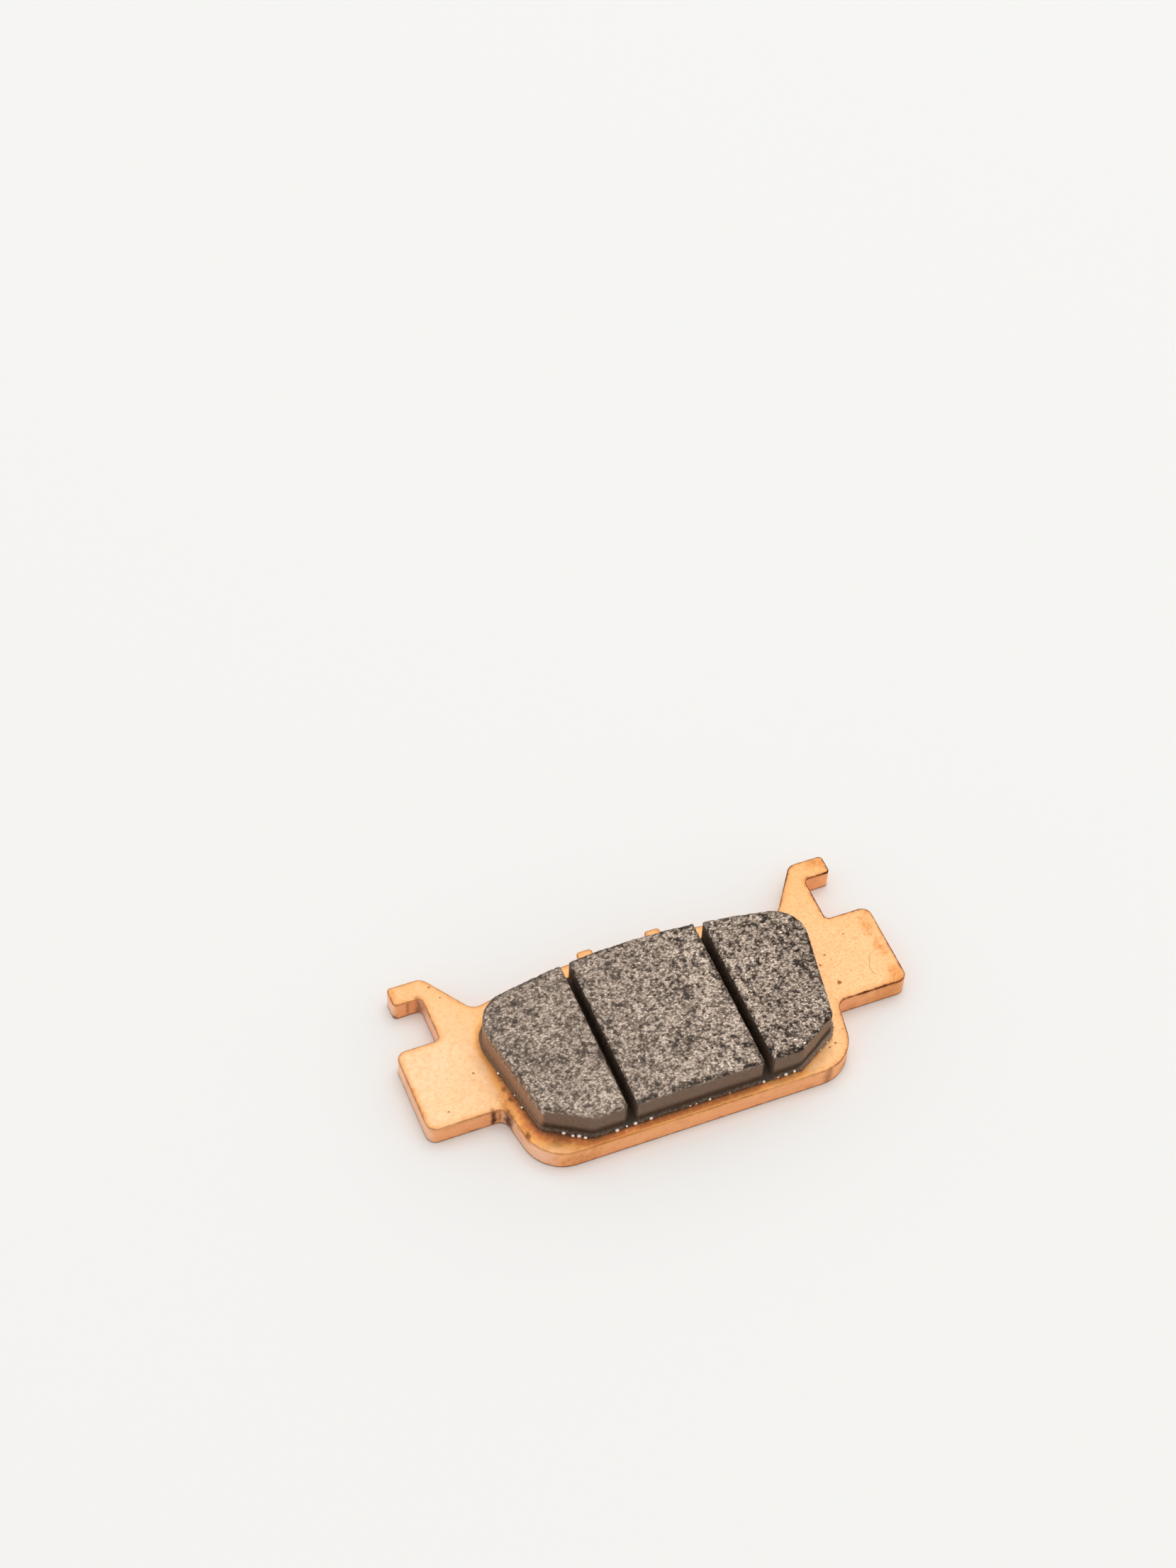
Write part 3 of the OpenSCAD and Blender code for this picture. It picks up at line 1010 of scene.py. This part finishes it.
def heat_layer(tree, on, colour):
    """Honey and amber heat tint beside the block, and a sooted dark band at its foot that is partly
    painted shade.
    """
    uneven = step_between(tree, on.rough, 0.3, 0.65, 0.75, 1.5)
    tinted = times(tree, on.tint, uneven, clamp=True)
    colour = blend(tree, step_between(tree, tinted, 0.0, 0.45), colour, HONEY)
    colour = blend(tree, step_between(tree, tinted, 0.5, 0.95), colour, AMBER)
    uneven = step_between(tree, on.rough, 0.3, 0.65, 0.5, 1.1)
    sooty_and_shaded = times(tree, on.soot, uneven, clamp=True)
    return blend(tree, times(tree, sooty_and_shaded, 0.65), colour, UMBER)


def tarnish_layer(tree, on, colour):
    """Tarnished patches, and rusty specks and pits."""
    dapple = noise_at(tree, on.position, 0.4, 4.0, 0.72)
    dappled = step_between(tree, dapple, 0.42, 0.64, 0.0, 0.65)
    colour = blend(tree, on.tarnish, colour, EMBER)
    colour = blend(tree, times(tree, on.tarnish, dappled), colour, RUST)
    fine = use(tree, SPECKS, Position=on.position, Size=0.7, Share=0.35, Radius=0.26)
    speckled = strongest(tree, times(tree, on.specks, 0.65), (fine, 0.45))
    speckled = times(tree, speckled, step_between(tree, on.across, -30.0, 30.0, 0.4, 1.0))
    return blend(tree, strongest(tree, speckled, (on.pit, 0.8)), colour, RUST)


def burnt_layer(tree, on, colour):
    """A rusty line inside the upper edges."""
    burnt = use(tree, RIM, Rough=on.rough, Distance=on.rim_mm, Reach=0.75, Ragged=0.4)
    return blend(tree, times(tree, times(tree, burnt, 0.8), on.edge_share), colour, RUST)


def brown_marks(tree, on):
    """Where the coat is brown: the floors of pits, stains, scratches, bands, and its edges, where
    the line along the wall's foot is partly painted contact shade.
    """
    pit_floor = step_between(tree, on.pit, 0.9, 1.0)
    marks = strongest(tree, times(tree, pit_floor, 0.5), (on.stain, 1.0))
    for start, end, width, strength in SCRATCHES:
        scratch = use(tree, SCRATCH, Position=on.position, From=start, To=end, Width=width)
        marks = strongest(tree, marks, (scratch, strength))

    # The back: two soft bands across it, and stains
    from_middle = calc(tree, "ABSOLUTE", on.across)
    from_band = calc(tree, "ABSOLUTE", calc(tree, "SUBTRACT", from_middle, BAND_MIDDLE))
    bands = use(tree, RIM, Rough=on.rough, Distance=from_band, Reach=1.25, Ragged=0.25)
    spoiled = use(tree, MOTTLE, Position=on.position, Size=5.5, Low=0.56, High=0.8)
    on_back = strongest(tree, times(tree, bands, 0.5), (spoiled, 0.35))
    marks = strongest(tree, marks, (times(tree, on.under, on_back), 1.0))

    line = use(tree, RIM, Rough=on.rough, Distance=on.rim_mm, Core=0.17, Reach=0.31, Ragged=0.2)
    # Partly painted shade: a dark line along the wall's foot, where it meets the table
    foot = use(tree, RIM, Rough=on.rough, Distance=on.foot_mm, Core=0.1, Reach=0.6, Ragged=0.25)
    return strongest(tree, marks, (times(tree, line, on.edge_share), 1.0), (foot, 0.7))


def copper_finish():
    """A thin satin copper coat on stamped steel, browned at its edges."""
    material, tree, shader = new_material("satin copper coat")
    on = copper_sources(tree)
    colour = coat_layer(tree, on)
    for layer in (wall_layer, heat_layer, tarnish_layer, burnt_layer):
        colour = layer(tree, on, colour)
    marks = brown_marks(tree, on)
    colour = blend(tree, marks, colour, BROWN)
    roughness = calc(tree, "MULTIPLY_ADD", on.mist, 0.06, 0.5)
    roughness = calc(tree, "MULTIPLY_ADD", marks, 0.2, roughness)
    roughness = calc(tree, "MULTIPLY_ADD", on.wall, 0.06, roughness)
    satin = noise_at(tree, on.position, 0.28, 3.0, 0.6)
    height = calc(tree, "MULTIPLY_ADD", on.specks, -0.6, satin)
    bump = put(tree, "ShaderNodeBump", {"Height": height, "Strength": 0.35, "Distance": 0.02 * MM})
    connect(tree, shader, Base_Color=colour, Roughness=roughness, Normal=bump.outputs[0])
    shader.inputs["Metallic"].default_value = 0.86
    return material


def cut_layer(tree, on):
    """Cut grains, each with a tone of its own, and pale glint specks, partly a painted highlight,
    more of them to the right where the light falls.
    """
    right = step_between(tree, parts_of(tree, on.position)["X"], -20.0, 24.0)
    clouds = noise_at(tree, on.position, 3.0, 2.0)
    level = calc(tree, "MULTIPLY_ADD", on.tone, 0.5, -0.34)
    shares = ((on.rise, 0.6), (on.fine, 0.6), (on.pore, -0.45), (clouds, 0.3), (on.band, -0.35))
    for value, share in shares:
        level = calc(tree, "MULTIPLY_ADD", value, share, level)
    cut = ramp(tree, level, GRAIN_TONES)
    even = times(tree, calc(tree, "SUBTRACT", 1.0, right), 0.32)
    cut = blend(tree, even, cut, EVEN_GRAIN)
    stretched = vector_calc(tree, "MULTIPLY", on.position, (0.6, 1.1, 1.0))
    # Partly painted highlight: pale specks, denser to the right
    glint_highlights = use(tree, SPECKS, Position=stretched, Size=0.75, Share=0.2, Radius=0.34)
    glint_highlights = times(tree, glint_highlights, step_between(tree, right, 0.1, 1.0, 0.35, 1.0))
    glint_highlights = times(tree, glint_highlights, step_between(tree, on.pore, 0.5, 0.1))
    return blend(tree, glint_highlights, cut, PAINTED_GLINT), glint_highlights


def skin_layer(tree, on):
    """The smooth brown skin of the walls, paler where they face the sides as painted light, with a
    dark band above the rough foot that is partly painted shade.
    """
    speckle = use(tree, MOTTLE, Position=on.position, Size=0.35, Low=0.3, High=0.75)
    # Painted light: the skin is paler where the walls face the sides, most at the left
    skin = blend(tree, on.side, SKIN, LEFT_LIT_SKIN)
    skin = blend(tree, times(tree, speckle, 0.3), skin, SKIN_SPECKLE)
    # Partly painted shade: the dark band above the foot
    skin = blend(tree, on.crease, skin, CREASE_SHADE_BROWN)
    foot = blend(tree, step_between(tree, on.fine, 0.35, 0.68), FOOT_DARK, FOOT_GREY)
    foot = blend(tree, times(tree, on.swell, 0.75), foot, FOOT_SWOLLEN)
    foot = blend(tree, times(tree, on.side, 0.9), foot, FOOT_LEFT)
    return blend(tree, on.lip, skin, foot)


def sinter_finish():
    """Pressed copper and iron powder: bright cut grains between dark pores."""
    material, tree, shader = new_material("sintered grain")
    names = ("pore", "top", "lip", "groove", "crease", "band", "side", "swell")
    on = sources_in(tree, *names)
    drawn = vector_calc(tree, "MULTIPLY", on.position, (0.75, 1.0, 1.0))
    normal = put(tree, "ShaderNodeNewGeometry").outputs["Normal"]
    tipped = use(tree, FACETS, "Normal", Position=drawn, Size=0.42, Tip=0.6, Normal=normal)
    on.tone, on.rise = tipped.node.outputs["Tone"], tipped.node.outputs["Rise"]
    on.fine = noise_at(tree, drawn, 0.3, 2.0, 0.6)
    cut, glint_highlights = cut_layer(tree, on)
    colour = blend(tree, on.top, skin_layer(tree, on), cut)
    # Painted shade: the grooves darken to near black below their rims
    colour = blend(tree, times(tree, on.groove, 0.8), colour, GROOVE_SHADE)
    shine = times(tree, step_between(tree, on.pore, 0.6, 0.0, 0.1, 0.7), on.top)
    metallic = times(tree, shine, calc(tree, "SUBTRACT", 1.0, on.groove))
    roughness = step_between(tree, on.tone, 0.0, 1.0, 0.6, 0.38)
    roughness = calc(tree, "MULTIPLY_ADD", calc(tree, "SUBTRACT", 1.0, on.top), 0.25, roughness)
    roughness = calc(tree, "MULTIPLY_ADD", glint_highlights, -0.2, roughness, clamp=True)
    inputs = {"Height": on.fine, "Strength": 0.5, "Distance": 0.05 * MM, "Normal": tipped}
    bump = put(tree, "ShaderNodeBump", inputs).outputs[0]
    connect(tree, shader, Base_Color=colour, Metallic=metallic, Roughness=roughness, Normal=bump)
    shader.inputs["Specular IOR Level"].default_value = 0.22
    return material


def bead_finish():
    """Bright frozen braze, with a little tarnish."""
    material, tree, shader = new_material("bright braze")
    tarnish = use(tree, MOTTLE, Position=sources_in(tree).position, Size=0.5, Low=0.45, High=0.75)
    colour = blend(tree, times(tree, tarnish, 0.4), BRAZE, DULL_BRAZE)
    connect(tree, shader, Base_Color=colour)
    shader.inputs["Metallic"].default_value = 0.7
    shader.inputs["Roughness"].default_value = 0.28
    return material


def dress(piece, material):
    """Gives a piece its only material."""
    piece.data.materials.clear()
    piece.data.materials.append(material)


# The table, the light and the camera


def lay_table():
    """A plain pale table top, clear from below, so that light reaches the pad's back through it."""
    corners = [(-1, -1), (1, -1), (1, 1), (-1, 1)]
    places = [(x * TABLE_HALF, y * TABLE_HALF, -TABLE_GAP * MM) for x, y in corners]
    mesh = bpy.data.meshes.new("table_top")
    mesh.from_pydata(places, [], [(0, 1, 2, 3)])
    add_to_scene("table_top", mesh)
    material, tree, shader = new_material("pale table")
    shader.inputs["Base Color"].default_value = TABLE_WHITE
    shader.inputs["Roughness"].default_value = 0.75
    shader.inputs["Specular IOR Level"].default_value = 0.2
    clear = put(tree, "ShaderNodeBsdfTransparent").outputs[0]
    back = put(tree, "ShaderNodeNewGeometry").outputs["Backfacing"]
    length = put(tree, "ShaderNodeLightPath").outputs["Ray Length"]
    in_gap = calc(tree, "LESS_THAN", length, GAP_RAY * MM)
    see_through = calc(tree, "MAXIMUM", back, in_gap)
    either = put(tree, "ShaderNodeMixShader", {0: see_through, 1: shader.outputs[0], 2: clear})
    tree.links.new(either.outputs[0], tree.nodes["Material Output"].inputs["Surface"])
    mesh.materials.append(material)


def light_studio():
    """White light that grows overhead, and one large soft lamp above the pad."""
    scene = bpy.context.scene
    world = bpy.data.worlds.new("white studio")
    world.use_nodes = True
    tree = world.node_tree
    sky = tree.nodes["Background"]
    sky.inputs["Color"].default_value = SKY_WHITE
    across, back, height = parts_of(tree, put(tree, "ShaderNodeTexCoord").outputs["Generated"])
    strength = step_between(tree, height, 0.0, 0.95, SKY_LOW, SKY_HIGH)
    below = step_between(tree, height, -0.05, -0.4, 0.0, SKY_BELOW)
    to_side = calc(tree, "ABSOLUTE", across)
    sides = step_between(tree, to_side, 0.3, 0.9, 0.0, SIDE_GAIN)
    right = step_between(tree, across, 0.1, 0.7, 0.0, RIGHT_GAIN)
    front = step_between(tree, back, -0.3, -0.9, 0.0, FRONT_GAIN)
    gain = calc(tree, "ADD", calc(tree, "ADD", sides, right), front)
    low_down = step_between(tree, height, 0.8, 0.15)
    strength = calc(tree, "ADD", strength, below)
    tree.links.new(calc(tree, "MULTIPLY_ADD", gain, low_down, strength), sky.inputs["Strength"])
    scene.world = world
    lamp = bpy.data.lights.new("soft window", "AREA")
    lamp.shape = "RECTANGLE"
    lamp.size, lamp.size_y = LAMP_WIDTH, LAMP_WIDTH
    lamp.energy = LAMP_POWER
    window = add_to_scene("soft window", lamp)
    window.location = LAMP_PLACE
    window.rotation_euler = (-window.location).to_track_quat("-Z", "Y").to_euler()
    scene.view_settings.view_transform = "Standard"


def place_camera():
    """The photograph's own viewpoint."""
    data = bpy.data.cameras.new("photo camera")
    data.sensor_width = SENSOR
    data.lens = SENSOR * FOCAL_PIXELS / max(PHOTO_SIZE)
    data.clip_start, data.clip_end = CAMERA_REACH
    camera = add_to_scene("photo camera", data)
    camera.location = Vector(CAMERA_PLACE) * MM
    camera.rotation_euler = [math.radians(turn) for turn in CAMERA_TURN]
    bpy.context.scene.camera = camera


place_camera()
light_studio()
lay_table()
dress(build_plate(), copper_finish())
dress(build_block(), sinter_finish())
dress(build_beads(), bead_finish())
